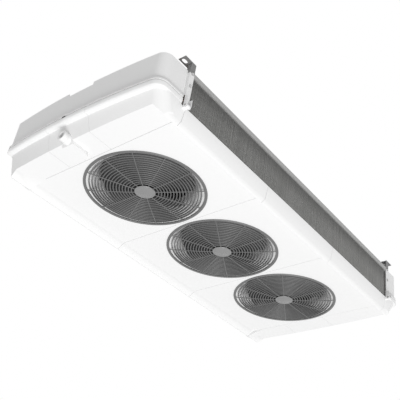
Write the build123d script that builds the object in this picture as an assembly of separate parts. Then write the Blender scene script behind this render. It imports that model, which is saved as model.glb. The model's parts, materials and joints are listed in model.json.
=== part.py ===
from build123d import *
import os
from math import atan2, cos, degrees, radians, sin, tan

# Slim ceiling unit cooler with three fans in a hinged drip tray.
# X runs along the row of fans, -Y is the coil and air outlet side, +Z is up.
# Heights below are measured from the middle of the fan row and shifted at the
# end, so that the finished part has its origin in the plane of the ceiling.

# Overall
hang_height = 205.0
tilt = 2.6
panel_length = 416.0
fan_count = 3
seam_x = fan_count * panel_length / 2
seam_gap = 0.5
wall = 3.0
rib_depth = 9.0
rib_thickness = 3.0

# Tray section across the fans, in the tilted plane of the fan panels
lip_y = -306.0
lip_z = -25.0
slope_front_y = -286.0
slope_rear_y = 288.0
rear_lip_y = 314.0
rear_lip_z = -18.0
nose_rise = 0.857
rear_nose_rise = 0.5
form_depth = -30.0
form_front_y = -316.1
form_rear_y = 319.7

# Level rim of the tray
ledge_z = 49.0
rim_z = 79.0
front_wall_z = 45.0
ledge_front_y = -328.0
ledge_rear_y = 334.0
rim_front_y = -330.0
rim_rear_y = 343.0
rim_wall = 6.0
collar = 8.0
groove_z = 66.0
groove_height = 4.0
groove_depth = 3.0
bead_radius = 5.0
lip_radius = 2.5

# Bowed ends of the tray and of the upper cover, as half lengths
foot_x_front = seam_x + 66.0
foot_x_mid = seam_x + 82.0
foot_x_rear = seam_x + 78.0
foot_bow_y = 60.0
foot_corner = 50.0
ledge_x_front = seam_x + 100.0
ledge_x_mid = seam_x + 112.0
ledge_x_rear = seam_x + 93.0
rim_x_front = seam_x + 116.0
rim_x_mid = seam_x + 131.0
rim_x_rear = seam_x + 109.0
cover_x_front = seam_x + 111.0
cover_x_mid = seam_x + 124.0
cover_x_rear = seam_x + 105.0
bow_y = -20.0
front_corner = 38.0
rear_corner = 14.0
cover_corner = 32.0
cover_front_y = -325.0
cover_rear_y = 338.0
cover_z = 174.0
cover_wall = 3.0
cover_gap = 1.0
notch_front_y = -45.0
notch_rear_y = 65.0
notch_depth = 11.0
seam_front_y = -50.0
seam_rear_y = 127.0

# Facets at the corners of the tray ends
wedge_front_x = seam_x + 81.0
wedge_front_y = -240.0
wedge_rear_x = seam_x + 88.0
wedge_rear_y = 318.0
wedge_rear_start_y = 240.0

# Fans, guards and inlet rings
guard_radius = 200.0
mouth_radius = 196.0
throat_radius = 153.0
mouth_depth = 62.0
tip_gap = 3.0
wire = 2.4
ring_count = 3
ring_sides = 24
ring_inner = 62.0
spoke_count = 12
hub_plate_radius = 34.0
hub_plate_thickness = 3.0
hub_drop = 6.0
stator_base_radius = 30.0
stator_radius = 40.0
stator_sides = 16
stator_neck_radius = 22.0
stator_base = 2.0
stator_top = 44.0
can_wall = 5.0
can_gap = 3.0
can_bottom = 13.0
stator_bottom = 5.0
can_top = 56.0
shaft_radius = 6.0
shaft_clearance = 0.05
blade_count = 7
blade_bottom = 14.0
blade_top = 50.0
blade_thickness = 2.2
blade_span = 44.0

# Hanging brackets and tray hinge
bracket_in_x = seam_x - 2.0
bracket_out_x = seam_x + 17.0
bracket_front_y = -334.0
sheet = 2.0
bracket_foot_z = 54.0
flange_depth = 16.0
tab_depth = 28.0
tab_in_x = seam_x + 3.0
tab_out_x = seam_x + 46.0
slot_x = seam_x + 31.0
slot_y = -317.0
slot_length = 20.0
slot_radius = 6.0
rear_tab_y = 317.0
rear_bracket_z = 84.0
hinge_y = -340.0
hinge_z = 40.0
pin_radius = 3.0
pin_clearance = 0.05
eye_radius = 6.0
eye_in_x = seam_x + 1.0
eye_out_x = seam_x + 14.0
ear_radius = 6.0

# Casing and coil
roof_z = 172.0
partition_x = seam_x - 2.0
channel_z = 157.0
channel_flange = 32.0
fin_x = seam_x - 6.0
fin_front_y = -330.0
fin_rear_y = -246.0
fin_bottom = 47.0
fin_top = 156.0
fin_slots = 24
fin_slot_width = 2.0
fin_slot_depth = 6.0
tube_radius = 6.35
tube_clearance = 0.15
tube_rows = 4
tube_first_z = 60.0
tube_pitch = 28.0
tube_front_y = -306.0
tube_rear_y = -270.0
tube_sides = 6
bend_steps = 4
tube_x = seam_x + 2.0
liquid_radius = 6.0
suction_radius = 11.0
stub_x = seam_x + 66.0
stub_top = 190.0
stub_rim = 2.0
heater_radius = 4.0
heater_z = 38.0
heater_front_y = -300.0
heater_rear_y = -265.0
lobe_front_y = -308.0
lobe_rear_y = -252.0
lobe_z = 32.0

# Drain, latch, terminal box and screws
drain_y = 42.0
drain_z = 8.0
drain_radius = 16.0
drain_bore = 10.0
drain_tip_x = seam_x + 120.0
drain_inner_x = seam_x + 80.0
collar_radius = 17.5
collar_x = seam_x + 104.0
fit_gap = 0.2
sump_half = 22.5
sump_inner_x = seam_x + 16.0
sump_depth = 12.0
latch_y = 45.0
latch_half = 8.0
latch_height = 6.0
latch_depth = 5.0
box_length = 58.0
box_front_y = 60.0
box_rear_y = 180.0
box_bottom = 85.0
box_top = 150.0
gland_radius = 11.0
gland_bore = 5.0
gland_length = 18.0
screw_radius = 5.0
screw_sides = 6
screw_height = 3.0
screw_x = seam_x + 7.0
screw_zs = (118.0, 164.0)

os.makedirs("parts", exist_ok=True)
deck = Rot(-tilt, 0, 0)
fan_xs = [(i - (fan_count - 1) / 2) * panel_length for i in range(fan_count)]
slant = radians(tilt)


def save(shape, name):
    export_step(Pos(0, 0, -hang_height) * shape, "parts/" + name + ".step")


def block(x0, x1, y0, y1, z0, z1):
    return Pos((x0 + x1) / 2, (y0 + y1) / 2, (z0 + z1) / 2) * Box(x1 - x0, y1 - y0, z1 - z0)


def rod(x0, x1, y, z, radius):
    return Pos((x0 + x1) / 2, y, z) * Rot(0, 90, 0) * Cylinder(radius, x1 - x0)


# Bar along X with flat sides, measured to its corners
def flat_rod(x0, x1, y, z, radius, sides):
    section = RegularPolygon(radius, sides)
    return Pos(x0, y, z) * Rot(0, 90, 0) * extrude(section, x1 - x0)


def bar(section, x0, x1):
    return extrude(Plane.YZ.offset(x0) * section, x1 - x0)


def flipped(shape):
    return mirror(shape, Plane.YZ)


# A level point of the casing, written in the tilted plane of the fan panels
def tilted(y, z):
    return (y * cos(slant) - z * sin(slant), y * sin(slant) + z * cos(slant))


# Underside of the tray: flat fan panel, drip lips and their slopes
def underside():
    front = (slope_front_y - 80, lip_z + nose_rise * (lip_y - slope_front_y + 80))
    rear = (rear_lip_y + 60, rear_lip_z + rear_nose_rise * 60)
    points = [front, (lip_y, lip_z), (slope_front_y, 0), (slope_rear_y, 0)]
    points += [(rear_lip_y, rear_lip_z), rear, (rear[0], 200), (front[0], 200)]
    return Polygon(*points, align=None)


# Long walls of the tray between the foot and the ledge
def long_walls():
    top_front = tilted(ledge_front_y, ledge_z)
    top_rear = tilted(ledge_rear_y, ledge_z)
    rise_front = top_front[1] - form_depth
    rise_rear = top_rear[1] - form_depth
    more = 40.0
    front = (top_front[0] + (top_front[0] - form_front_y) * more / rise_front, top_front[1] + more)
    rear = (top_rear[0] + (top_rear[0] - form_rear_y) * more / rise_rear, top_rear[1] + more)
    return Polygon((form_front_y, form_depth), (form_rear_y, form_depth), rear, front, align=None)


tray_section = underside() & long_walls()


def section_ring(outer, inner):
    big = offset(tray_section, -outer, kind=Kind.INTERSECTION) if outer else tray_section
    return big - offset(tray_section, -inner, kind=Kind.INTERSECTION)


# Plan outline of one end: straight front and rear, bowed end, rounded corners
def end_plan(front, rear, x_front, x_mid, x_rear, mid_y, r_front, r_rear, inset):
    x_in = seam_x - 30
    y_front = front + inset
    y_rear = rear - inset
    corner_front = (x_front - inset, y_front)
    corner_rear = (x_rear - inset, y_rear)
    bow = ThreePointArc(corner_front, (x_mid - inset, mid_y), corner_rear)
    sides = Line((x_in, y_front), corner_front) + bow + Line(corner_rear, (x_in, y_rear))
    face = make_face(sides + Line((x_in, y_rear), (x_in, y_front)))
    first = face.vertices().sort_by_distance(corner_front)[0]
    face = fillet(first, max(r_front - inset, 1.0))
    second = face.vertices().sort_by_distance(corner_rear)[0]
    return fillet(second, max(r_rear - inset, 1.0))


def foot_plan(inset):
    sizes = (foot_x_front, foot_x_mid, foot_x_rear, foot_bow_y, foot_corner, rear_corner)
    return end_plan(form_front_y, form_rear_y, *sizes, inset)


def ledge_plan(inset):
    sizes = (ledge_x_front, ledge_x_mid, ledge_x_rear, bow_y, front_corner, rear_corner)
    return end_plan(ledge_front_y, ledge_rear_y, *sizes, inset)


def rim_plan(inset):
    sizes = (rim_x_front, rim_x_mid, rim_x_rear, bow_y, front_corner, rear_corner)
    return end_plan(rim_front_y, rim_rear_y, *sizes, inset)


def cover_plan(inset):
    sizes = (cover_x_front, cover_x_mid, cover_x_rear, bow_y, cover_corner, rear_corner)
    return end_plan(cover_front_y, cover_rear_y, *sizes, inset)


# Facet that slopes from a crease in the flat end down to the corner of the lip
def wedge(start, finish, low):
    a = Vector(*start)
    b = Vector(*finish)
    c = Vector(*low)
    normal = (b - a).cross(c - a)
    normal = normal if normal.Z > 0 else -normal
    side = 1 if low[1] > start[1] else -1
    far_y = start[1] + side * 150
    outline = Polygon((start[0] - 30, start[1]), (start[0], start[1]), (finish[0], finish[1]),
                      (finish[0] + 80, finish[1]), (finish[0] + 80, far_y),
                      (start[0] - 30, far_y), align=None)
    prism = Pos(0, 0, -60) * extrude(outline, 65)
    return split(prism, bisect_by=Plane(origin=a, z_dir=normal), keep=Keep.TOP)


end_floor = bar(underside(), seam_x - 30, rim_x_mid + 30)
end_floor += wedge((seam_x, slope_front_y, 0), (wedge_front_x, wedge_front_y, 0), (seam_x, lip_y, lip_z))
end_floor += wedge((seam_x, wedge_rear_start_y, 0), (wedge_rear_x, wedge_rear_y, 0),
                   (seam_x, rear_lip_y, rear_lip_z))


# Lower body of a tray end, grown inward by the inset
def end_form(inset):
    foot = deck * Pos(0, 0, form_depth) * foot_plan(inset)
    top = Pos(0, 0, ledge_z) * ledge_plan(inset)
    return loft([foot, top], ruled=True) & (deck * Pos(0, 0, inset) * end_floor)


# Rolled rim: ledge, wide lower bead, groove and thin upper bead
def end_rim():
    body = extrude(rim_plan(0), rim_z - ledge_z)
    inner_x = seam_x - 29
    low = body.edges().group_by(Axis.Z)[0].filter_by(lambda e: e.center().X > inner_x)
    body = chamfer(low, bead_radius)
    high = body.edges().group_by(Axis.Z)[-1].filter_by(lambda e: e.center().X > inner_x)
    body = chamfer(high, lip_radius)
    body -= Pos(0, 0, wall) * extrude(rim_plan(rim_wall), rim_z)
    body -= extrude(rim_plan(-10) - rim_plan(groove_depth), groove_height).moved(
        Location((0, 0, groove_z - ledge_z)))
    body -= Pos(0, 0, -1) * extrude(ledge_plan(wall), wall + 2)
    body += extrude(ledge_plan(0) - ledge_plan(wall), collar)
    body = Pos(0, 0, ledge_z) * body
    return body - block(seam_x - 60, bracket_out_x + wall, rim_front_y - 9, 0, ledge_z - 1, rim_z + 1)


end_skin = end_form(0) - end_form(wall) + end_rim()
end_skin -= block(seam_x - 60, bracket_out_x + wall, ledge_front_y - 9, 0, front_wall_z, rim_z)
end_ribs = end_form(wall) - end_form(wall + rib_depth)
end_ribs -= block(seam_x - 60, rim_x_mid, ledge_front_y - 9, rim_rear_y, front_wall_z, rim_z)


# One moulding of a tray end between two seams, with touching ribs inside
def end_piece(y0, y1, from_seam, rib_ys):
    left = seam_x + (seam_gap if from_seam else 0)
    piece = end_skin & block(left, 900, y0 + seam_gap, y1 - seam_gap, -90, 200)
    for rib_y in rib_ys:
        piece += end_ribs & block(seam_x, 900, rib_y, rib_y + rib_thickness, -90, 200)
    piece += end_ribs & block(seam_x, seam_x + rib_thickness, y0 + seam_gap, y1 - seam_gap, -90, 200)
    return piece


corner_front = end_piece(-400, seam_front_y, True, [seam_front_y - rib_thickness])
centre = end_piece(seam_front_y, seam_rear_y, True, [seam_front_y, seam_rear_y - rib_thickness])
corner_rear = end_piece(seam_rear_y, 400, True, [seam_rear_y])

# Hinge eye on the front corner
eye = rod(eye_in_x, eye_out_x, hinge_y, hinge_z, eye_radius)
arm_top = hinge_z + eye_radius * 0.7
eye += block(eye_in_x, eye_out_x, hinge_y, ledge_front_y + wall, hinge_z - eye_radius * 0.7, arm_top)
corner_front += eye
corner_front -= rod(eye_in_x - 1, eye_out_x + 1, hinge_y, hinge_z, pin_radius + pin_clearance)

# Pocket for the latch in the groove of the rim
latch_x = rim_x_mid - latch_depth
latch_z = groove_z + groove_height / 2
pocket = block(latch_x, rim_x_mid + 9, latch_y - latch_half - fit_gap, latch_y + latch_half + fit_gap,
               latch_z - latch_height / 2 - fit_gap, latch_z + latch_height / 2 + fit_gap)
centre -= pocket

latch = block(latch_x, rim_x_mid - 1, latch_y - latch_half, latch_y + latch_half,
              latch_z - latch_height / 2, latch_z + latch_height / 2)
latch = fillet(latch.edges().filter_by(Axis.X), latch_height / 2 - 0.1)


# Sump below the flat end with the drain hole through the end wall
def sump(inset, bottom, top):
    half = sump_half - inset
    round_x = sump_inner_x + sump_half
    face = Pos(round_x, drain_y) * Circle(half)
    face += Pos(round_x + 60, drain_y) * Rectangle(120, 2 * half)
    return deck * Pos(0, 0, bottom) * extrude(face, top - bottom)


def deck_rod(x0, x1, y, z, radius):
    return deck * rod(x0, x1, y, z, radius)


foot = deck * Pos(0, 0, form_depth) * foot_plan(0)
form_zero = loft([foot, Pos(0, 0, ledge_z) * ledge_plan(0)], ruled=True)
foot = deck * Pos(0, 0, form_depth) * foot_plan(wall)
form_wall = loft([foot, Pos(0, 0, ledge_z) * ledge_plan(wall)], ruled=True)
drained = centre + (sump(0, -sump_depth, wall) & form_zero)
drained -= sump(wall, wall - sump_depth, wall + 2) & form_wall
drained -= deck_rod(drain_inner_x, drain_tip_x, drain_y, drain_z, collar_radius + fit_gap)

spout = deck_rod(drain_inner_x, collar_x, drain_y, drain_z, collar_radius)
spout += deck_rod(collar_x, drain_tip_x, drain_y, drain_z, drain_radius)
spout -= deck_rod(drain_inner_x - 1, drain_tip_x + 1, drain_y, drain_z, drain_bore)

save(flipped(corner_front), "tray_corner_front_left")
save(corner_front, "tray_corner_front_right")
save(flipped(drained), "tray_end_left")
save(centre, "tray_end_right")
save(flipped(corner_rear), "tray_corner_rear_left")
save(corner_rear, "tray_corner_rear_right")
save(flipped(spout), "drain_spout")
save(flipped(latch), "latch_left")
save(latch, "latch_right")

# Fan panels: one trough each, with the inlet ring moulded in
mouth = [(mouth_radius + 3, 0), (mouth_radius, 0), (173, 13), (158, 33), (throat_radius, mouth_depth)]
mouth += [(throat_radius + wall, mouth_depth), (161, 35), (175, 16), (mouth_radius + 3, wall)]
ring_face = Plane.XZ * Polygon(*mouth, align=None)
inlet_ring = revolve(ring_face, Axis.Z)
rim_section = Polygon((ledge_rear_y - wall, ledge_z), (rim_rear_y - bead_radius, ledge_z),
                      (rim_rear_y, ledge_z + bead_radius), (rim_rear_y, groove_z),
                      (rim_rear_y - groove_depth, groove_z),
                      (rim_rear_y - groove_depth, groove_z + groove_height),
                      (rim_rear_y, groove_z + groove_height), (rim_rear_y, rim_z - lip_radius),
                      (rim_rear_y - lip_radius, rim_z), (rim_rear_y - rim_wall, rim_z),
                      (rim_rear_y - rim_wall, ledge_z + wall), (ledge_rear_y - wall, ledge_z + wall),
                      align=None)


def fan_panel(x):
    x0 = x - panel_length / 2
    x1 = x + panel_length / 2
    panel = bar(section_ring(0, wall), x0 + seam_gap, x1 - seam_gap)
    for start in (x0, x1 - rib_thickness):
        panel += bar(section_ring(wall, wall + rib_depth), start, start + rib_thickness)
    panel = deck * panel
    panel -= block(x0 - 1, x1 + 1, form_front_y - 90, 0, front_wall_z, 300)
    panel -= block(x0 - 1, x1 + 1, 0, form_rear_y + 90, ledge_z, 300)
    panel -= deck * Pos(x, 0, 0) * Cylinder(mouth_radius + 1, 2 * wall + 2)
    panel += deck * Pos(x, 0, 0) * inlet_ring
    return panel + bar(rim_section, x0 + seam_gap, x1 - seam_gap)


# Wire guard with its hub plate
def fan_guard():
    plate = extrude(RegularPolygon(hub_plate_radius, ring_sides), hub_plate_thickness)
    guard = Pos(0, 0, -hub_drop - hub_plate_thickness) * plate
    reach = guard_radius - wire
    side = Polygon((hub_plate_radius - 4, -hub_drop - hub_plate_thickness), (reach, -wire), (reach, 0),
                   (hub_plate_radius - 4, -hub_drop), align=None)
    spoke = Pos(0, wire / 2, 0) * extrude(Plane.XZ * side, wire)
    for i in range(spoke_count):
        guard += Rot(0, 0, i * 360 / spoke_count) * spoke
    for i in range(ring_count):
        radius = ring_inner + (guard_radius - ring_inner) * i / (ring_count - 1)
        drop = hub_drop * (guard_radius - radius) / (guard_radius - hub_plate_radius)
        ring = RegularPolygon(radius, ring_sides) - RegularPolygon(radius - wire, ring_sides)
        guard += Pos(0, 0, -drop - wire) * extrude(ring, wire)
    return guard


# Motor stator that stands on the hub plate and carries the shaft
def fan_stator():
    stator = Pos(0, 0, -hub_drop) * extrude(RegularPolygon(stator_base_radius, stator_sides),
                                            stator_base + hub_drop)
    neck = extrude(RegularPolygon(stator_neck_radius, stator_sides), stator_bottom - stator_base)
    stator += Pos(0, 0, stator_base) * neck
    core = extrude(RegularPolygon(stator_radius, stator_sides), stator_top - stator_bottom)
    stator += Pos(0, 0, stator_bottom) * core
    return stator - Cylinder(shaft_radius + shaft_clearance, 4 * stator_top)


# Blade section at one radius: a thin plate at the pitch angle for that radius
def blade_section(radius):
    span = blade_span * radius / 60
    chord = min(span, 2 * radius * 0.62)
    rise = blade_top - blade_bottom
    angle = degrees(atan2(rise, chord))
    length = (chord ** 2 + rise ** 2) ** 0.5
    middle = (blade_top + blade_bottom) / 2
    place = Plane(origin=(radius, 0, middle), x_dir=(0, 1, 0), z_dir=(1, 0, 0))
    return place * Rot(0, 0, angle) * Rectangle(length, blade_thickness)


def fan_rotor():
    can_in = stator_radius + can_gap
    can_out = can_in + can_wall
    rotor = Pos(0, 0, can_bottom) * extrude(RegularPolygon(can_out, ring_sides), can_top - can_bottom)
    rotor -= extrude(RegularPolygon(can_in, ring_sides), stator_top + can_gap)
    tip = throat_radius - tip_gap
    stations = [can_out - 3, (can_out + tip) / 2, tip]
    blade = loft([blade_section(r) for r in stations], ruled=True)
    blade &= Pos(0, 0, 30) * Cylinder(tip, 100)
    for i in range(blade_count):
        rotor += Rot(0, 0, i * 360 / blade_count) * blade
    return rotor


guard = fan_guard()
stator = fan_stator()
rotor = fan_rotor()
shaft_length = stator_top + can_gap
shaft = Pos(0, 0, shaft_length / 2) * Cylinder(shaft_radius, shaft_length)
for i, x in enumerate(fan_xs):
    save(fan_panel(x), "fan_panel_" + str(i + 1))
    save(deck * Pos(x, 0, 0) * guard, "fan_guard_" + str(i + 1))
    save(deck * Pos(x, 0, 0) * stator, "fan_stator_" + str(i + 1))
    save(deck * Pos(x, 0, 0) * rotor, "fan_rotor_" + str(i + 1))
    save(deck * Pos(x, 0, 0) * shaft, "fan_shaft_" + str(i + 1))

# Upper end cover with a notch in its top edge
cover_bottom = rim_z + cover_gap
cover = extrude(cover_plan(0), cover_z - cover_bottom) - extrude(cover_plan(cover_wall), 200)
cover = Pos(0, 0, cover_bottom) * cover
cover -= block(seam_x - 60, bracket_out_x, cover_front_y - 9, 0, 0, 300)
cover -= block(seam_x - 60, partition_x, 0, cover_rear_y + 9, 0, 300)
cover -= block(cover_x_rear - 30, cover_x_mid + 9, notch_front_y, notch_rear_y, cover_z - notch_depth, 300)
save(flipped(cover), "end_cover_left")
save(cover, "end_cover_right")

# Rear panel, roof and coil channel
inner_y = cover_rear_y - cover_wall
rear = block(-partition_x, partition_x, inner_y, cover_rear_y, cover_bottom, roof_z - sheet)
save(rear, "rear_panel")
roof = block(-partition_x, partition_x, bracket_front_y, cover_rear_y, roof_z - sheet, roof_z)
save(roof, "roof_panel")
web_y = bracket_front_y + sheet
web = block(-bracket_in_x, bracket_in_x, bracket_front_y, web_y, channel_z, roof_z - sheet)
for low in (channel_z, roof_z - 2 * sheet):
    web += block(-partition_x + sheet, partition_x - sheet, bracket_front_y + sheet,
                 bracket_front_y + channel_flange, low, low + sheet)
save(web, "coil_channel")

# Partition: end plate of the coil and side wall of the air space
tube_zs = [tube_first_z + i * tube_pitch for i in range(tube_rows)]
plate = block(partition_x - sheet, partition_x, bracket_front_y + sheet, cover_rear_y - cover_wall,
              cover_bottom, roof_z - sheet)
plate += block(partition_x - sheet, partition_x, fin_front_y, fin_rear_y + 6, fin_bottom, cover_bottom)
plate += block(partition_x - sheet, partition_x, lobe_front_y, lobe_rear_y, lobe_z, fin_bottom)
tube_places = [(y, z) for z in tube_zs for y in (tube_front_y, tube_rear_y)]
hole = tube_radius + tube_clearance
for y, z in tube_places:
    plate -= flat_rod(partition_x - 9, partition_x + 9, y, z, hole, tube_sides)
for y in (heater_front_y, heater_rear_y):
    heater_hole = heater_radius + tube_clearance
    plate -= flat_rod(partition_x - 9, partition_x + 9, y, heater_z, heater_hole, tube_sides)
plate -= block(partition_x - 9, partition_x + 9, bracket_front_y, bracket_front_y + channel_flange + sheet,
               channel_z, roof_z)
save(flipped(plate), "partition_left")
save(plate, "partition_right")

# Fin pack with shallow slots that mark groups of fins
fins = block(-fin_x, fin_x, fin_front_y, fin_rear_y, fin_bottom, fin_top)
for i in range(fin_slots):
    x = (i + 0.5 - fin_slots / 2) * 2 * fin_x / fin_slots
    half = fin_slot_width / 2
    fins -= block(x - half, x + half, fin_front_y - 1, fin_front_y + fin_slot_depth, 0, 300)
for y, z in tube_places:
    fins -= flat_rod(-fin_x - 1, fin_x + 1, y, z, hole, tube_sides)
save(fins, "fin_pack")


# Tube run of straight lengths that turns back at each end of the coil
def tube_run(rows, radius):
    path = [(-tube_x, *rows[0])]
    side = 1
    for (y0, z0), (y1, z1) in zip(rows, rows[1:]):
        half_y = (y1 - y0) / 2
        half_z = (z1 - z0) / 2
        half = (half_y ** 2 + half_z ** 2) ** 0.5
        for i in range(bend_steps + 1):
            turn = radians(i * 180 / bend_steps)
            along = 1 - cos(turn)
            path.append((side * (tube_x + half * sin(turn)), y0 + half_y * along, z0 + half_z * along))
        side = -side
    path.append((side * tube_x, *rows[-1]))
    start = Plane(origin=path[0], x_dir=(0, 0, -1), z_dir=(1, 0, 0)) * RegularPolygon(radius, tube_sides)
    return sweep(start, path=Polyline(*path), transition=Transition.RIGHT)


rows = [(tube_front_y, z) for z in reversed(tube_zs)] + [(tube_rear_y, z) for z in tube_zs]
save(tube_run(rows, tube_radius), "coil_tubes")


# Refrigerant stubs that turn up from the two open tube ends at the left
def stub(y, radius):
    z = tube_zs[-1]
    level = rod(-stub_x, -tube_x, y, z, radius)
    elbow = Pos(-stub_x, y, z) * Cylinder(radius + stub_rim, 2 * (radius + stub_rim))
    upright = Pos(-stub_x, y, (z + stub_top) / 2) * Cylinder(radius, stub_top - z)
    return level + elbow + upright


save(stub(tube_front_y, liquid_radius), "liquid_stub")
save(stub(tube_rear_y, suction_radius), "suction_stub")

# Defrost heater: two rods under the fin pack joined by a bend at the right
rows = [(heater_front_y, heater_z), (heater_rear_y, heater_z)]
save(tube_run(rows, heater_radius), "defrost_heater")


# Hanging tab with its slot at the ceiling
def tab(y0, y1, slot_mid):
    plate = block(tab_in_x, tab_out_x, y0, y1, hang_height - sheet, hang_height)
    hole = Pos(slot_x, slot_mid, hang_height) * SlotOverall(slot_length, 2 * slot_radius)
    return plate - extrude(hole, sheet * 2, both=True)


front_back_y = bracket_front_y + flange_depth
front_tab_y = bracket_front_y + tab_depth
front = block(bracket_in_x, bracket_out_x, bracket_front_y, bracket_front_y + sheet, bracket_foot_z,
              hang_height)
front += block(bracket_out_x - sheet, bracket_out_x, bracket_front_y, front_back_y, cover_bottom,
               hang_height)
front += tab(bracket_front_y, front_tab_y, slot_y)
for x0 in (bracket_in_x, bracket_out_x - sheet):
    ear = flat_rod(x0, x0 + sheet, hinge_y, hinge_z, ear_radius, 8)
    ear += block(x0, x0 + sheet, hinge_y - ear_radius, bracket_front_y + sheet, hinge_z, bracket_foot_z + 12)
    front += ear
front -= rod(bracket_in_x - 9, bracket_out_x + 9, hinge_y, hinge_z, pin_radius + pin_clearance)
save(flipped(front), "bracket_front_left")
save(front, "bracket_front_right")

back_y = cover_rear_y - cover_wall
back = block(bracket_in_x, bracket_out_x, back_y - sheet, back_y, rear_bracket_z, hang_height)
back += block(bracket_out_x - sheet, bracket_out_x, back_y - flange_depth, back_y, rear_bracket_z,
              hang_height)
back += tab(back_y - tab_depth, back_y, rear_tab_y)
save(flipped(back), "bracket_rear_left")
save(back, "bracket_rear_right")

pin = rod(bracket_in_x - 1, bracket_out_x + 2, hinge_y, hinge_z, pin_radius)
save(flipped(pin), "hinge_pin_left")
save(pin, "hinge_pin_right")

# Terminal box on the right partition with its cable gland
box = block(partition_x, partition_x + box_length, box_front_y, box_rear_y, box_bottom, box_top)
box = fillet(box.edges().filter_by(Axis.X), 6)
gland_place = Pos(partition_x + box_length / 2, (box_front_y + box_rear_y) / 2, box_top + gland_length / 2)
gland = gland_place * (Cylinder(gland_radius, gland_length) - Cylinder(gland_bore, gland_length + 1))
save(box, "terminal_box")
save(gland, "cable_gland")

# Screw heads on the bracket uprights
screws = []
for side in (-1, 1):
    for z in screw_zs:
        head = Pos(side * screw_x, bracket_front_y - screw_height / 2, z) * Rot(90, 0, 0)
        hexagon = RegularPolygon(screw_radius, screw_sides)
        screws.append(head * Pos(0, 0, -screw_height / 2) * extrude(hexagon, screw_height))
save(Compound(screws), "bracket_screws")
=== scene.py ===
import bpy
import bmesh
import json
import random
from math import cos, pi, radians, sin
from mathutils import Matrix, Vector


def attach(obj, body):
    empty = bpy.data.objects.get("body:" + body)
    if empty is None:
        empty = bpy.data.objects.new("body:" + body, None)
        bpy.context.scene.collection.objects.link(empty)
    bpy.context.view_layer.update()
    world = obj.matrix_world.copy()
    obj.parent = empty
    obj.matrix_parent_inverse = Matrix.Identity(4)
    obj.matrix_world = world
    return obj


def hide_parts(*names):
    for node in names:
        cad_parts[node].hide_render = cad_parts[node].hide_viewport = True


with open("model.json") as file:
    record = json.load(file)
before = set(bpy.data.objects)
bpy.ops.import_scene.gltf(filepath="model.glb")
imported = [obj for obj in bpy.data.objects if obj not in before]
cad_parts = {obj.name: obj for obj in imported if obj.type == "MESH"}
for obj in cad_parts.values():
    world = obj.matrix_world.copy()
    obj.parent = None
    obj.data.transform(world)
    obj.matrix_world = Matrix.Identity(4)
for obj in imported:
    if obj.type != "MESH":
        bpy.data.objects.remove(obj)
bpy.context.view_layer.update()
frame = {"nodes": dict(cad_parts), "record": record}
print("frame loaded")

# The fan deck leans under a level casing. Deck pieces are drawn in millimetres
# round the middle fan and then put in place with deckPlace.
deck = {"tilt": 2.6, "hangHeight": 205.0, "fanPitch": 416.0}
toMetres = Matrix.Scale(0.001, 4)
dropped = Matrix.Translation((0, 0, -deck["hangHeight"]))
casingPlace = toMetres @ dropped
deckPlace = toMetres @ dropped @ Matrix.Rotation(-radians(deck["tilt"]), 4, "X")
fanPlaces = [Matrix.Translation((i * deck["fanPitch"], 0, 0)) for i in (-1, 0, 1)]


# Finishes
def addSocket(tree, name, kind, inward, value=None):
    side = "INPUT" if inward else "OUTPUT"
    socket = tree.interface.new_socket(name=name, in_out=side, socket_type="NodeSocket" + kind)
    if value is not None:
        socket.default_value = value


def newNode(tree, kind, **settings):
    node = tree.nodes.new("ShaderNode" + kind)
    for key, value in settings.items():
        setattr(node, key, value)
    return node


# Values inside the node groups that no finish changes
grainValues = {"cloudDetail": 5, "grainDetail": 2, "peelDepth": 0.0004}
spangleValues = {"glossSpread": 0.2}
# the last value is how far the painted shadow on the fins darkens them
streakValues = {"detail": 4, "start": 0.42, "full": 0.68, "roughShare": 0.3, "paintedShadowShare": 0.8}


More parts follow.
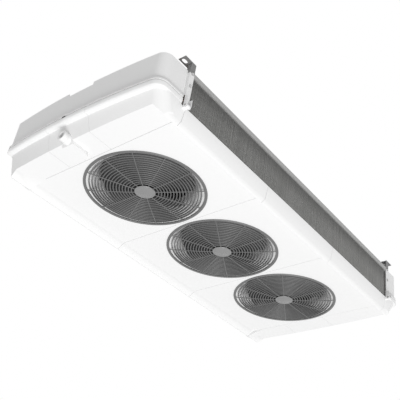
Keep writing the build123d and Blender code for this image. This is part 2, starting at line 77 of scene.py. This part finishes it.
def makeGrainGroup():
    # moulded or coated skin: cloudy tone, fine orange peel and uneven gloss
    tree = bpy.data.node_groups.new("skinGrain", "ShaderNodeTree")
    addSocket(tree, "Colour", "Color", True, (0.8, 0.8, 0.8, 1))
    addSocket(tree, "Cloud Size", "Float", True, 4.0)
    addSocket(tree, "Grain Size", "Float", True, 900.0)
    addSocket(tree, "Tone Spread", "Float", True, 0.03)
    addSocket(tree, "Roughness", "Float", True, 0.4)
    addSocket(tree, "Gloss Spread", "Float", True, 0.08)
    addSocket(tree, "Colour", "Color", False)
    addSocket(tree, "Roughness", "Float", False)
    addSocket(tree, "Height", "Float", False)
    inside = newNode(tree, "TexCoord")
    start = tree.nodes.new("NodeGroupInput")
    end = tree.nodes.new("NodeGroupOutput")
    cloud = newNode(tree, "TexNoise")
    cloud.inputs["Detail"].default_value = grainValues["cloudDetail"]
    grain = newNode(tree, "TexNoise")
    grain.inputs["Detail"].default_value = grainValues["grainDetail"]
    tree.links.new(inside.outputs["Object"], cloud.inputs["Vector"])
    tree.links.new(inside.outputs["Object"], grain.inputs["Vector"])
    tree.links.new(start.outputs["Cloud Size"], cloud.inputs["Scale"])
    tree.links.new(start.outputs["Grain Size"], grain.inputs["Scale"])
    centred = newNode(tree, "Math", operation="SUBTRACT")
    centred.inputs[1].default_value = 0.5
    tree.links.new(cloud.outputs["Fac"], centred.inputs[0])
    tone = newNode(tree, "Math", operation="MULTIPLY_ADD")
    tone.inputs[2].default_value = 1.0
    tree.links.new(centred.outputs[0], tone.inputs[0])
    tree.links.new(start.outputs["Tone Spread"], tone.inputs[1])
    shade = newNode(tree, "VectorMath", operation="SCALE")
    tree.links.new(start.outputs["Colour"], shade.inputs[0])
    tree.links.new(tone.outputs[0], shade.inputs["Scale"])
    gloss = newNode(tree, "Math", operation="MULTIPLY_ADD")
    tree.links.new(centred.outputs[0], gloss.inputs[0])
    tree.links.new(start.outputs["Gloss Spread"], gloss.inputs[1])
    tree.links.new(start.outputs["Roughness"], gloss.inputs[2])
    tree.links.new(shade.outputs[0], end.inputs["Colour"])
    tree.links.new(gloss.outputs[0], end.inputs["Roughness"])
    tree.links.new(grain.outputs["Fac"], end.inputs["Height"])
    return tree


def makeSpangleGroup():
    # zinc crystals on galvanised sheet
    tree = bpy.data.node_groups.new("zincSpangle", "ShaderNodeTree")
    addSocket(tree, "Colour", "Color", True, (0.6, 0.6, 0.6, 1))
    addSocket(tree, "Crystal Size", "Float", True, 160.0)
    addSocket(tree, "Tone Spread", "Float", True, 0.25)
    addSocket(tree, "Roughness", "Float", True, 0.35)
    addSocket(tree, "Colour", "Color", False)
    addSocket(tree, "Roughness", "Float", False)
    inside = newNode(tree, "TexCoord")
    start = tree.nodes.new("NodeGroupInput")
    end = tree.nodes.new("NodeGroupOutput")
    crystals = newNode(tree, "TexVoronoi")
    tree.links.new(inside.outputs["Object"], crystals.inputs["Vector"])
    tree.links.new(start.outputs["Crystal Size"], crystals.inputs["Scale"])
    parts = newNode(tree, "SeparateColor")
    tree.links.new(crystals.outputs["Color"], parts.inputs[0])
    centred = newNode(tree, "Math", operation="SUBTRACT")
    centred.inputs[1].default_value = 0.5
    tree.links.new(parts.outputs[0], centred.inputs[0])
    tone = newNode(tree, "Math", operation="MULTIPLY_ADD")
    tone.inputs[2].default_value = 1.0
    tree.links.new(centred.outputs[0], tone.inputs[0])
    tree.links.new(start.outputs["Tone Spread"], tone.inputs[1])
    shade = newNode(tree, "VectorMath", operation="SCALE")
    tree.links.new(start.outputs["Colour"], shade.inputs[0])
    tree.links.new(tone.outputs[0], shade.inputs["Scale"])
    gloss = newNode(tree, "Math", operation="MULTIPLY_ADD")
    gloss.inputs[1].default_value = spangleValues["glossSpread"]
    tree.links.new(centred.outputs[0], gloss.inputs[0])
    tree.links.new(start.outputs["Roughness"], gloss.inputs[2])
    tree.links.new(shade.outputs[0], end.inputs["Colour"])
    tree.links.new(gloss.outputs[0], end.inputs["Roughness"])
    return tree


def makeStreakGroup():
    # streaks that run down a face, for fins, tubes and rods
    tree = bpy.data.node_groups.new("runStreaks", "ShaderNodeTree")
    addSocket(tree, "Colour", "Color", True, (0.5, 0.5, 0.5, 1))
    addSocket(tree, "Streak Colour", "Color", True, (0.3, 0.3, 0.3, 1))
    addSocket(tree, "Across", "Float", True, 60.0)
    addSocket(tree, "Down", "Float", True, 4.0)
    addSocket(tree, "Amount", "Float", True, 0.5)
    addSocket(tree, "Colour", "Color", False)
    addSocket(tree, "Mask", "Float", False)
    inside = newNode(tree, "TexCoord")
    start = tree.nodes.new("NodeGroupInput")
    end = tree.nodes.new("NodeGroupOutput")
    scales = newNode(tree, "CombineXYZ")
    tree.links.new(start.outputs["Across"], scales.inputs["X"])
    tree.links.new(start.outputs["Across"], scales.inputs["Y"])
    tree.links.new(start.outputs["Down"], scales.inputs["Z"])
    stretched = newNode(tree, "VectorMath", operation="MULTIPLY")
    tree.links.new(inside.outputs["Object"], stretched.inputs[0])
    tree.links.new(scales.outputs[0], stretched.inputs[1])
    noise = newNode(tree, "TexNoise")
    noise.inputs["Scale"].default_value = 1.0
    noise.inputs["Detail"].default_value = streakValues["detail"]
    tree.links.new(stretched.outputs[0], noise.inputs["Vector"])
    ramp = newNode(tree, "MapRange")
    ramp.inputs["From Min"].default_value = streakValues["start"]
    ramp.inputs["From Max"].default_value = streakValues["full"]
    tree.links.new(noise.outputs["Fac"], ramp.inputs["Value"])
    mask = newNode(tree, "Math", operation="MULTIPLY")
    tree.links.new(ramp.outputs[0], mask.inputs[0])
    tree.links.new(start.outputs["Amount"], mask.inputs[1])
    mix = newNode(tree, "Mix", data_type="RGBA")
    tree.links.new(mask.outputs[0], mix.inputs["Factor"])
    tree.links.new(start.outputs["Colour"], mix.inputs["A"])
    tree.links.new(start.outputs["Streak Colour"], mix.inputs["B"])
    tree.links.new(mix.outputs["Result"], end.inputs["Colour"])
    tree.links.new(mask.outputs[0], end.inputs["Mask"])
    return tree


grainGroup = makeGrainGroup()
spangleGroup = makeSpangleGroup()
streakGroup = makeStreakGroup()


def placeGroup(tree, group, values):
    node = tree.nodes.new("ShaderNodeGroup")
    node.node_tree = group
    for key, value in values.items():
        node.inputs[key].default_value = value
    return node


def newMaterial(name):
    material = bpy.data.materials.new(name)
    material.use_nodes = True
    return material, material.node_tree, material.node_tree.nodes["Principled BSDF"]


def mouldedMaterial(name, colour, roughness, cloud=4.0, spread=0.03, bump=0.05, coat=0.0):
    material, tree, shader = newMaterial(name)
    grain = placeGroup(tree, grainGroup, {"Colour": (*colour, 1), "Roughness": roughness,
                                          "Cloud Size": cloud, "Tone Spread": spread})
    tree.links.new(grain.outputs["Colour"], shader.inputs["Base Color"])
    tree.links.new(grain.outputs["Roughness"], shader.inputs["Roughness"])
    peel = newNode(tree, "Bump")
    peel.inputs["Strength"].default_value = bump
    peel.inputs["Distance"].default_value = grainValues["peelDepth"]
    tree.links.new(grain.outputs["Height"], peel.inputs["Height"])
    tree.links.new(peel.outputs["Normal"], shader.inputs["Normal"])
    shader.inputs["Coat Weight"].default_value = coat
    return material


def heightMask(tree, low, high):
    # nought below the low height and one above the high one
    inside = newNode(tree, "TexCoord")
    parts = newNode(tree, "SeparateXYZ")
    tree.links.new(inside.outputs["Object"], parts.inputs[0])
    mask = newNode(tree, "MapRange")
    mask.inputs["From Min"].default_value = low
    mask.inputs["From Max"].default_value = high
    tree.links.new(parts.outputs["Z"], mask.inputs["Value"])
    return mask.outputs[0]


def mixTowards(tree, factor, first, colour, amount=1.0):
    scaled = newNode(tree, "Math", operation="MULTIPLY")
    scaled.inputs[1].default_value = amount
    tree.links.new(factor, scaled.inputs[0])
    mix = newNode(tree, "Mix", data_type="RGBA")
    tree.links.new(scaled.outputs[0], mix.inputs["Factor"])
    tree.links.new(first, mix.inputs["A"])
    mix.inputs["B"].default_value = (*colour, 1)
    return mix.outputs["Result"]


def zincMaterial(name, colour, roughness, spread, size=160.0, metal=0.85, top=None):
    material, tree, shader = newMaterial(name)
    zinc = placeGroup(tree, spangleGroup, {"Colour": (*colour, 1), "Crystal Size": size,
                                           "Tone Spread": spread, "Roughness": roughness})
    colourOut = zinc.outputs["Colour"]
    if top:
        mask = heightMask(tree, top["none"], top["full"])
        colourOut = mixTowards(tree, mask, colourOut, top["colour"])
    tree.links.new(colourOut, shader.inputs["Base Color"])
    tree.links.new(zinc.outputs["Roughness"], shader.inputs["Roughness"])
    shader.inputs["Metallic"].default_value = metal
    return material


def streakedMaterial(name, colour, streak, roughness, across, down, metal, amount=0.5, shade=None):
    material, tree, shader = newMaterial(name)
    run = placeGroup(tree, streakGroup, {"Colour": (*colour, 1), "Streak Colour": (*streak, 1),
                                         "Across": across, "Down": down, "Amount": amount})
    colourOut = run.outputs["Colour"]
    # painted shadow: the colour darkens towards the top of the piece, where the coil channel's
    # shadow falls on the fins
    if shade:
        paintedShadowColour = tuple(shade["tone"] * part for part in colour)
        mask = heightMask(tree, shade["none"], shade["full"])
        colourOut = mixTowards(tree, mask, colourOut, paintedShadowColour, streakValues["paintedShadowShare"])
    tree.links.new(colourOut, shader.inputs["Base Color"])
    rough = newNode(tree, "Math", operation="MULTIPLY_ADD")
    rough.inputs[1].default_value = streakValues["roughShare"]
    rough.inputs[2].default_value = roughness
    tree.links.new(run.outputs["Mask"], rough.inputs[0])
    tree.links.new(rough.outputs[0], shader.inputs["Roughness"])
    shader.inputs["Metallic"].default_value = metal
    return material


# Values of each finish; heights in "top" and "shade" are in metres below the ceiling plane; the
# fins' "shade" is a painted shadow of the coil channel, darker towards the fin tops
mouldedFinishes = {
    "deckWhite": {"colour": (0.86, 0.86, 0.86), "roughness": 0.42, "spread": 0.012, "bump": 0.04,
                  "coat": 0.1},
    "coverWhite": {"colour": (0.87, 0.87, 0.87), "roughness": 0.5, "spread": 0.02, "bump": 0.08},
    "wireGrey": {"colour": (0.15, 0.15, 0.15), "roughness": 0.42, "cloud": 30.0, "spread": 0.1},
    "hubGrey": {"colour": (0.25, 0.25, 0.25), "roughness": 0.35, "cloud": 20.0, "spread": 0.05,
                "bump": 0.03},
    "bladeGrey": {"colour": (0.03, 0.03, 0.031), "roughness": 0.45, "cloud": 18.0, "spread": 0.1,
                  "bump": 0.1},
    "motorBlack": {"colour": (0.03, 0.03, 0.03), "roughness": 0.5, "cloud": 30.0, "spread": 0.1,
                   "bump": 0.1},
    "clipBlack": {"colour": (0.015, 0.015, 0.015), "roughness": 0.5, "cloud": 40.0, "spread": 0.1},
    "boxGrey": {"colour": (0.42, 0.43, 0.43), "roughness": 0.5, "cloud": 12.0, "spread": 0.05,
                "bump": 0.1},
}
zincFinishes = {
    "zincSheet": {"colour": (0.40, 0.40, 0.395), "roughness": 0.5, "spread": 0.06},
    "channelZinc": {"colour": (0.40, 0.40, 0.395), "roughness": 0.5, "spread": 0.05, "size": 260.0,
                    "metal": 0.3},
    "zincBracket": {"colour": (0.84, 0.84, 0.84), "roughness": 0.5, "spread": 0.04, "size": 220.0,
                    "metal": 0.1,
                    "top": {"none": -0.042, "full": -0.038, "colour": (0.20, 0.20, 0.20)}},
}
streakedFinishes = {
    "finMetal": {"colour": (0.42, 0.42, 0.41), "streak": (0.36, 0.36, 0.35), "roughness": 0.5,
                 "across": 14.0, "down": 3.0, "metal": 0.2, "amount": 0.6,
                 # painted shadow of the coil channel, darker towards the fin tops
                 "shade": {"none": -0.105, "full": -0.049, "tone": 0.5}},
    "copperTube": {"colour": (0.62, 0.36, 0.24), "streak": (0.30, 0.17, 0.11), "roughness": 0.3,
                   "across": 25.0, "down": 25.0, "metal": 1.0},
    "rodSteel": {"colour": (0.55, 0.55, 0.55), "streak": (0.38, 0.37, 0.36), "roughness": 0.3,
                 "across": 80.0, "down": 80.0, "metal": 1.0},
}
finishes = {}
for makeMaterial, values in ((mouldedMaterial, mouldedFinishes), (zincMaterial, zincFinishes),
                             (streakedMaterial, streakedFinishes)):
    for finishName, finishValues in values.items():
        finishes[finishName] = makeMaterial(finishName, **finishValues)
print("finishes made")


# Making and placing pieces, with how their faces are merged and shaded
meshing = {"mergeMillimetres": 0.0005, "lathedMerge": 0.001, "sharpAngle": 35.0}


def finishPiece(mesh, name, material, body, place, replaced=(), merged=True):
    sharp = radians(meshing["sharpAngle"])
    if merged:
        bmesh.ops.remove_doubles(mesh, verts=mesh.verts, dist=meshing["mergeMillimetres"])
        bmesh.ops.recalc_face_normals(mesh, faces=mesh.faces)
    bmesh.ops.transform(mesh, matrix=place, verts=mesh.verts)
    for face in mesh.faces:
        face.smooth = True
    for edge in mesh.edges:
        edge.smooth = len(edge.link_faces) != 2 or edge.calc_face_angle() < sharp
    data = bpy.data.meshes.new(name)
    mesh.to_mesh(data)
    mesh.free()
    piece = bpy.data.objects.new(name, data)
    bpy.context.scene.collection.objects.link(piece)
    data.materials.append(finishes[material])
    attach(piece, body)
    if replaced:
        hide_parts(*replaced)


def lathe(target, profile, steps):
    # closed ring or disc, spun round z from its section in x and z
    verts = [target.verts.new((x, 0, z)) for x, z in profile]
    edges = [target.edges.new((verts[i], verts[(i + 1) % len(verts)])) for i in range(len(verts))]
    bmesh.ops.spin(target, geom=verts + edges, axis=(0, 0, 1), cent=(0, 0, 0), dvec=(0, 0, 0),
                   angle=2 * pi, steps=steps, use_merge=True)
    bmesh.ops.remove_doubles(target, verts=target.verts, dist=meshing["lathedMerge"])


def rodMesh(target, start, end, radius, sides):
    start, end = Vector(start), Vector(end)
    run = end - start
    turn = run.to_track_quat("Z", "Y").to_matrix().to_4x4()
    place = Matrix.Translation((start + end) / 2) @ turn
    bmesh.ops.create_cone(target, segments=sides, radius1=radius, radius2=radius, depth=run.length,
                          cap_ends=True, matrix=place)


# Wire guards with their blank hub plates
guard = {"rimOuter": 200.0, "rimInner": 190.5, "rimHeight": 3.6, "rimSteps": 128,
         "ringCount": 15, "firstRing": 44.0, "pitch": 9.75, "wire": 3.0, "depth": 5.6,
         "softEdge": 0.8, "ringSteps": 96, "edgeDepth": 2.6, "drop": 5.6,
         "spokes": 12, "spokeWire": 3.4, "spokeSides": 8, "spokeBends": (30, 75, 120, 160, 194),
         "spokeLap": 0.5, "spokeLift": 1.0,
         "hubRadius": 34.0, "hubTop": -5.6, "hubThick": 3.2, "hubSteps": 64}


def guardHeight(radius):
    # shallow dome from the rim down to the hub plate
    return -guard["edgeDepth"] - guard["drop"] * (1 - (radius / guard["rimOuter"]) ** 2)


def makeGuard(index, place):
    mesh = bmesh.new()
    half, soft, depth = guard["wire"] / 2, guard["softEdge"], guard["depth"]
    for i in range(guard["ringCount"]):
        radius = guard["firstRing"] + i * guard["pitch"]
        low = guardHeight(radius)
        lathe(mesh, [(radius - half, low + soft), (radius - half + soft, low),
                     (radius + half - soft, low), (radius + half, low + soft),
                     (radius + half, low + depth), (radius - half, low + depth)],
              guard["ringSteps"])
    lap, lift, bends = guard["spokeLap"], guard["spokeLift"], guard["spokeBends"]
    for i in range(guard["spokes"]):
        turn = Matrix.Rotation(i * 2 * pi / guard["spokes"], 4, "Z")
        for a, b in zip(bends, bends[1:]):
            start = turn @ Vector((a - lap, 0, guardHeight(a) + lift))
            end = turn @ Vector((b + lap, 0, guardHeight(b) + lift))
            rodMesh(mesh, start, end, guard["spokeWire"] / 2, guard["spokeSides"])
    outer, inner, tall = guard["rimOuter"], guard["rimInner"], guard["rimHeight"]
    lathe(mesh, [(inner, -0.3), (inner, -tall + 0.8), (inner + 1.0, -tall), (outer - 1.6, -tall),
                 (outer - 0.2, -tall + 1.4), (outer - 0.2, -0.1), (outer - 3, -0.1)],
          guard["rimSteps"])
    finishPiece(mesh, "wireGuard" + str(index), "wireGrey", "drip_tray",
                deckPlace @ place, ["fan_guard_" + str(index)], merged=False)
    plate = bmesh.new()
    hub, top, thick = guard["hubRadius"], guard["hubTop"], guard["hubThick"]
    lathe(plate, [(0, top), (hub - 0.4, top), (hub, top - 0.6), (hub, top - thick + 1.0),
                  (hub - 1.2, top - thick), (hub - 5, top - thick - 0.25),
                  (hub - 6, top - thick + 0.35), (hub - 7, top - thick - 0.25),
                  (0, top - thick - 0.5)], guard["hubSteps"])
    finishPiece(plate, "hubPlate" + str(index), "hubGrey", "drip_tray",
                deckPlace @ place)


# Motor stators, behind the hub plates
stator = {"neck": 22.0, "core": 40.0, "base": 29.5, "bottom": -5.5, "top": 44.0, "bore": 6.05,
          "flange": 2.0, "coreBottom": 5.0, "steps": 48}


def makeStator(index, place):
    mesh = bmesh.new()
    bore, neck, core, base = stator["bore"], stator["neck"], stator["core"], stator["base"]
    bottom, top, flange = stator["bottom"], stator["top"], stator["flange"]
    low = stator["coreBottom"]
    lathe(mesh, [(bore, bottom), (base, bottom), (base, flange - 0.8), (base - 0.8, flange),
                 (neck, flange), (neck, low), (core - 1, low), (core, low + 1), (core, top - 1),
                 (core - 1, top), (bore, top)], stator["steps"])
    finishPiece(mesh, "motorStator" + str(index), "motorBlack", "drip_tray",
                deckPlace @ place, ["fan_stator_" + str(index)])


# Impellers: shaft, rotor can and cambered blades
rotor = {"canOuter": 48.0, "canInner": 43.0, "canTop": 56.0, "canFloor": 47.0, "canBottom": 13.0,
         "canEdge": 3.0, "shaft": 6.0, "canSteps": 64, "blades": 7, "root": 46.5, "tip": 149.6,
         "bottom": 14.6, "top": 49.4, "rootSpan": 33.0, "tipSpan": 108.0, "thick": 2.2,
         "camber": 3.0, "bladeGrid": 10}


def makeRotor(index, place):
    outer, inner, shaft = rotor["canOuter"], rotor["canInner"], rotor["shaft"]
    high, hollow, low = rotor["canTop"], rotor["canFloor"], rotor["canBottom"]
    edge = rotor["canEdge"]
    mesh = bmesh.new()
    lathe(mesh, [(0, high), (outer - edge, high), (outer, high - edge), (outer, low + 1),
                 (outer - 1, low), (inner, low), (inner, hollow), (shaft, hollow), (shaft, 0),
                 (0, 0)], rotor["canSteps"])
    finishPiece(mesh, "rotorCan" + str(index), "motorBlack", "fan_" + str(index),
                deckPlace @ place, ["fan_rotor_" + str(index), "fan_shaft_" + str(index)])
    root, tip, bottom, top = rotor["root"], rotor["tip"], rotor["bottom"], rotor["top"]
    rootSpan, tipSpan, camber = rotor["rootSpan"], rotor["tipSpan"], rotor["camber"]
    blades = bmesh.new()
    for i in range(rotor["blades"]):
        made = bmesh.ops.create_grid(blades, x_segments=rotor["bladeGrid"],
                                     y_segments=rotor["bladeGrid"], size=0.5)
        for vert in made["verts"]:
            u, v = vert.co.x + 0.5, vert.co.y + 0.5
            radius = root + u * (tip - root)
            span = rootSpan + u * (tipSpan - rootSpan)
            angle = (v - 0.5) * span / radius + i * 2 * pi / rotor["blades"]
            height = bottom + v * (top - bottom) - camber * 4 * v * (1 - v)
            vert.co = (radius * cos(angle), radius * sin(angle), max(height, bottom))
    bmesh.ops.solidify(blades, geom=blades.faces[:], thickness=rotor["thick"])
    finishPiece(blades, "fanBlades" + str(index), "bladeGrey", "fan_" + str(index),
                deckPlace @ place)


for number, fanPlace in enumerate(fanPlaces, 1):
    makeGuard(number, fanPlace)
    makeStator(number, fanPlace)
    makeRotor(number, fanPlace)
print("fans made")

# Coil: separate fins with slightly uneven front edges
fins = {"left": -617.0, "right": 607.0, "front": -330.0, "rear": -246.0, "bottom": 47.0,
        "top": 156.0, "pitch": 4.6, "thick": 0.9, "waver": 0.5, "twist": 0.15, "seed": 7}


def makeFins():
    random.seed(fins["seed"])
    mesh = bmesh.new()
    left, front, bottom = fins["left"], fins["front"], fins["bottom"]
    width, depth, tall = fins["right"] - left, fins["rear"] - front, fins["top"] - bottom
    count = int(width / fins["pitch"])
    size = Matrix.Diagonal((fins["thick"], depth, tall, 1))
    for i in range(count + 1):
        bend = random.uniform(-fins["waver"], fins["waver"])
        x = left + i * width / count
        middle = Matrix.Translation((x, front + depth / 2, bottom + tall / 2))
        made = bmesh.ops.create_cube(mesh, size=1.0, matrix=middle @ size)
        for vert in made["verts"]:
            if vert.co.y < front + 1:
                vert.co.x += bend + random.uniform(-fins["twist"], fins["twist"])
    finishPiece(mesh, "coilFins", "finMetal", "root", casingPlace, ["fin_pack"])


makeFins()
print("fins made")


# Sheets and mouldings: each solid's own mesh, with its flat faces merged and its edges softened
softening = {"mergeMetres": 0.000004, "flatAngle": 0.6, "sharpAngle": 50.0, "segments": 2}


def dressNode(node, material, bevel):
    sharp = radians(softening["sharpAngle"])
    source = frame["nodes"][node]
    mesh = bmesh.new()
    mesh.from_mesh(source.data)
    bmesh.ops.remove_doubles(mesh, verts=mesh.verts, dist=softening["mergeMetres"])
    bmesh.ops.dissolve_limit(mesh, angle_limit=radians(softening["flatAngle"]), verts=mesh.verts,
                             edges=mesh.edges)
    for face in mesh.faces:
        face.smooth = True
    for edge in mesh.edges:
        edge.smooth = len(edge.link_faces) != 2 or edge.calc_face_angle(0) < sharp
    data = bpy.data.meshes.new(node + "Skin")
    mesh.to_mesh(data)
    mesh.free()
    piece = bpy.data.objects.new(node + "Skin", data)
    bpy.context.scene.collection.objects.link(piece)
    data.materials.append(finishes[material])
    if bevel:
        soft = piece.modifiers.new("softEdges", "BEVEL")
        soft.width = bevel
        soft.segments = softening["segments"]
        soft.limit_method = "ANGLE"
        soft.angle_limit = sharp
        soft.use_clamp_overlap = True
    even = piece.modifiers.new("evenShading", "WEIGHTED_NORMAL")
    even.keep_sharp = True
    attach(piece, bodyOf[node])
    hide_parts(node)


bodyOf = {node: body for body, nodes in frame["record"]["behaviour"]["bodies"].items()
          for node in nodes}
# each finish with its pieces and the width of their softened edges in metres
dressing = {
    "deckWhite": (["fan_panel_1", "fan_panel_2", "fan_panel_3", "tray_corner_front_left",
                   "tray_corner_front_right", "tray_end_left", "tray_end_right",
                   "tray_corner_rear_left", "tray_corner_rear_right", "drain_spout"], 0.0008),
    "coverWhite": (["end_cover_left", "end_cover_right", "rear_panel"], 0.0006),
    "zincSheet": (["roof_panel", "partition_left", "partition_right"], 0.0003),
    "channelZinc": (["coil_channel"], 0.0003),
    "zincBracket": (["bracket_front_left", "bracket_front_right", "bracket_rear_left",
                     "bracket_rear_right"], 0.0003),
    "clipBlack": (["latch_left", "latch_right", "cable_gland"], 0.0005),
    "boxGrey": (["terminal_box"], 0.001),
    "copperTube": (["coil_tubes", "liquid_stub", "suction_stub"], 0.0),
    "rodSteel": (["defrost_heater", "hinge_pin_left", "hinge_pin_right", "bracket_screws"], 0.0003),
}
for finish, (nodes, width) in dressing.items():
    for nodeName in nodes:
        dressNode(nodeName, finish, width)
print("casing dressed")

# Camera at the photograph's place
camera = {"place": (-1603.7, -1356.6, -1157.2 - deck["hangHeight"]),
          "right": (0.6086, -0.7810, 0.1403), "up": (-0.5036, -0.2435, 0.8289), "lens": 60.32,
          "sensor": 36.0, "farthest": 100.0}
view = bpy.data.cameras.new("photoView")
view.sensor_width = camera["sensor"]
view.lens = camera["lens"]
view.clip_end = camera["farthest"]
eye = bpy.data.objects.new("photoView", view)
rightWay = Vector(camera["right"]).normalized()
upWay = Vector(camera["up"])
upWay = (upWay - rightWay * upWay.dot(rightWay)).normalized()
backWay = rightWay.cross(upWay)
eye.matrix_world = Matrix.Translation(Vector(camera["place"]) * 0.001) @ Matrix(
    (rightWay, upWay, backWay)).transposed().to_4x4()
bpy.context.scene.collection.objects.link(eye)
bpy.context.scene.camera = eye

# Floor, world and studio lamp
studio = {"floorHeight": -14.0, "floorSize": 80.0, "floorTone": 0.9, "floorRoughness": 0.8,
          "worldFill": 0.54}


def whiteForView(tree):
    # plain white where it is seen, mirrored or looked through
    paths = newNode(tree, "LightPath")
    seen = newNode(tree, "Math", operation="MAXIMUM")
    tree.links.new(paths.outputs["Is Camera Ray"], seen.inputs[0])
    tree.links.new(paths.outputs["Is Glossy Ray"], seen.inputs[1])
    more = newNode(tree, "Math", operation="MAXIMUM")
    tree.links.new(seen.outputs[0], more.inputs[0])
    tree.links.new(paths.outputs["Is Transmission Ray"], more.inputs[1])
    return more.outputs[0]


floorMesh = bmesh.new()
bmesh.ops.create_grid(floorMesh, x_segments=1, y_segments=1, size=studio["floorSize"] / 2)
bmesh.ops.translate(floorMesh, verts=floorMesh.verts, vec=(0, 0, studio["floorHeight"]))
floorData = bpy.data.meshes.new("studioFloor")
floorMesh.to_mesh(floorData)
floorMesh.free()
floor = bpy.data.objects.new("studioFloor", floorData)
bpy.context.scene.collection.objects.link(floor)
floorPaint, _, floorShader = newMaterial("floorWhite")
floorShader.inputs["Base Color"].default_value = (*[studio["floorTone"]] * 3, 1)
floorShader.inputs["Roughness"].default_value = studio["floorRoughness"]
floorData.materials.append(floorPaint)

world = bpy.data.worlds.new("studioWorld")
bpy.context.scene.world = world
world.use_nodes = True
worldTree = world.node_tree
background = worldTree.nodes["Background"]
background.inputs["Color"].default_value = (1, 1, 1, 1)
strength = newNode(worldTree, "MapRange")
strength.inputs["To Min"].default_value = studio["worldFill"]
strength.inputs["To Max"].default_value = 1.0
worldTree.links.new(whiteForView(worldTree), strength.inputs["Value"])
worldTree.links.new(strength.outputs[0], background.inputs["Strength"])

lamp = {"place": (-2.2, -4.5, -9.1), "aim": (0, 0, -0.2), "size": 5.0, "power": 770.0}
light = bpy.data.lights.new("belowFront", "AREA")
light.size = lamp["size"]
light.energy = lamp["power"]
holder = bpy.data.objects.new("belowFront", light)
aim = Vector(lamp["aim"]) - Vector(lamp["place"])
turned = aim.to_track_quat("-Z", "Y").to_matrix().to_4x4()
holder.matrix_world = Matrix.Translation(lamp["place"]) @ turned
bpy.context.scene.collection.objects.link(holder)

bpy.context.scene.view_settings.view_transform = "Standard"
print("studio set")
